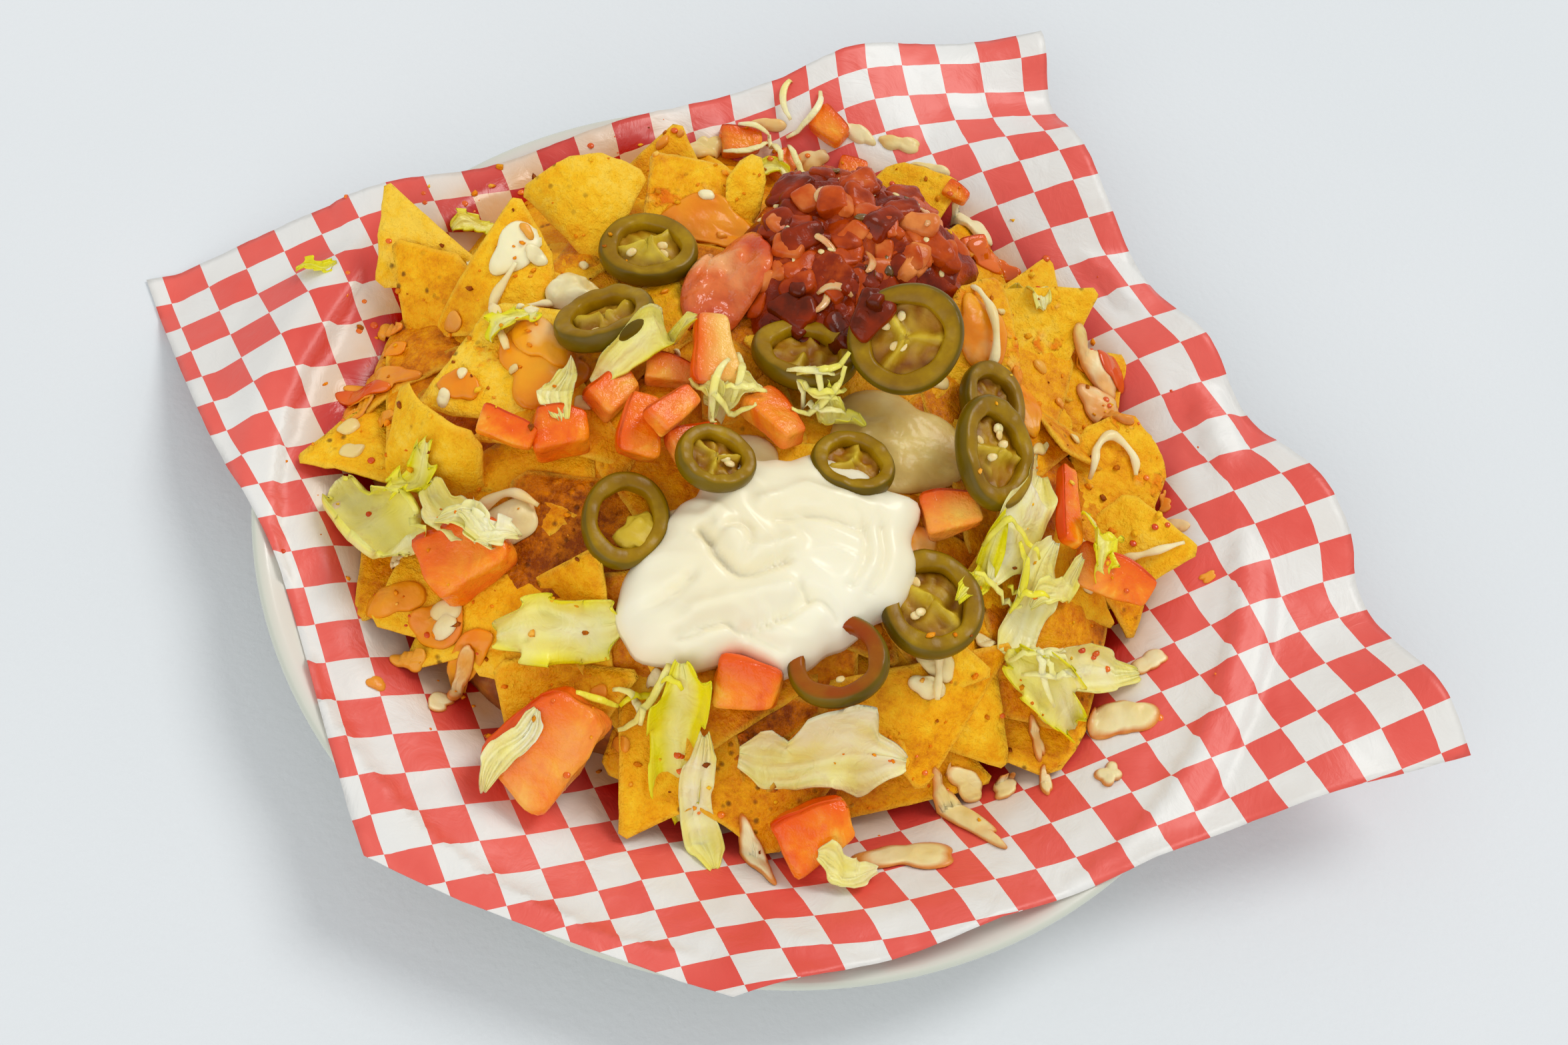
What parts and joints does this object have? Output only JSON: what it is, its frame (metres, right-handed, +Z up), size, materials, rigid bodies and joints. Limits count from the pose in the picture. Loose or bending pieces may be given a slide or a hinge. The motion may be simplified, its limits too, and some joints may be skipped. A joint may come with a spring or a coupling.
{
  "type": "loaded nachos on a paper-lined plate",
  "caption": "Heaped tortilla chips with salsa, sour cream, jalapeno, tomato, lettuce and melted cheese on a checked paper sheet over a round plate.",
  "frame": {"origin": "under the middle of the whole, at the height the plate's foot stands on", "axes": "+Z up, +Y away from the diner, +X to the diner's right"},
  "size_m": [0.4124, 0.3712, 0.0902],
  "materials": {
    "plate": "white glaze",
    "paper": "waxed, red and white check",
    "chips": "fried corn, matt with a little oil",
    "cream": "soft gloss",
    "salsa": "wet gloss",
    "jalapeno": "wet gloss",
    "tomato": "wet gloss",
    "lettuce": "satin leaf",
    "cheese": "greasy satin"
  },
  "bodies": {
    "root": {"cheese_1": "cheese", "cheese_2": "cheese", "cheese_3": "cheese", "cheese_4": "cheese", "cheese_5": "cheese", "cheese_6": "cheese", "cheese_7": "cheese", "cheese_8": "cheese", "cheese_9": "cheese", "chip_heap": "chips", "jalapeno_1": "jalapeno", "jalapeno_10": "jalapeno", "jalapeno_11": "jalapeno", "jalapeno_2": "jalapeno", "jalapeno_3": "jalapeno", "jalapeno_4": "jalapeno", "jalapeno_5": "jalapeno", "jalapeno_6": "jalapeno", "jalapeno_7": "jalapeno", "jalapeno_8": "jalapeno", "jalapeno_9": "jalapeno", "lettuce_1": "lettuce", "lettuce_10": "lettuce", "lettuce_11": "lettuce", "lettuce_12": "lettuce", "lettuce_13": "lettuce", "lettuce_14": "lettuce", "lettuce_15": "lettuce", "lettuce_2": "lettuce", "lettuce_3": "lettuce", "lettuce_4": "lettuce", "lettuce_5": "lettuce", "lettuce_6": "lettuce", "lettuce_7": "lettuce", "lettuce_8": "lettuce", "lettuce_9": "lettuce", "paper_liner": "paper", "plate": "plate", "salsa": "salsa", "sour_cream": "cream", "tomato_1": "tomato", "tomato_10": "tomato", "tomato_11": "tomato", "tomato_12": "tomato", "tomato_13": "tomato", "tomato_14": "tomato", "tomato_15": "tomato", "tomato_16": "tomato", "tomato_2": "tomato", "tomato_3": "tomato", "tomato_4": "tomato", "tomato_5": "tomato", "tomato_6": "tomato", "tomato_7": "tomato", "tomato_8": "tomato", "tomato_9": "tomato"}
  },
  "joints": []
}
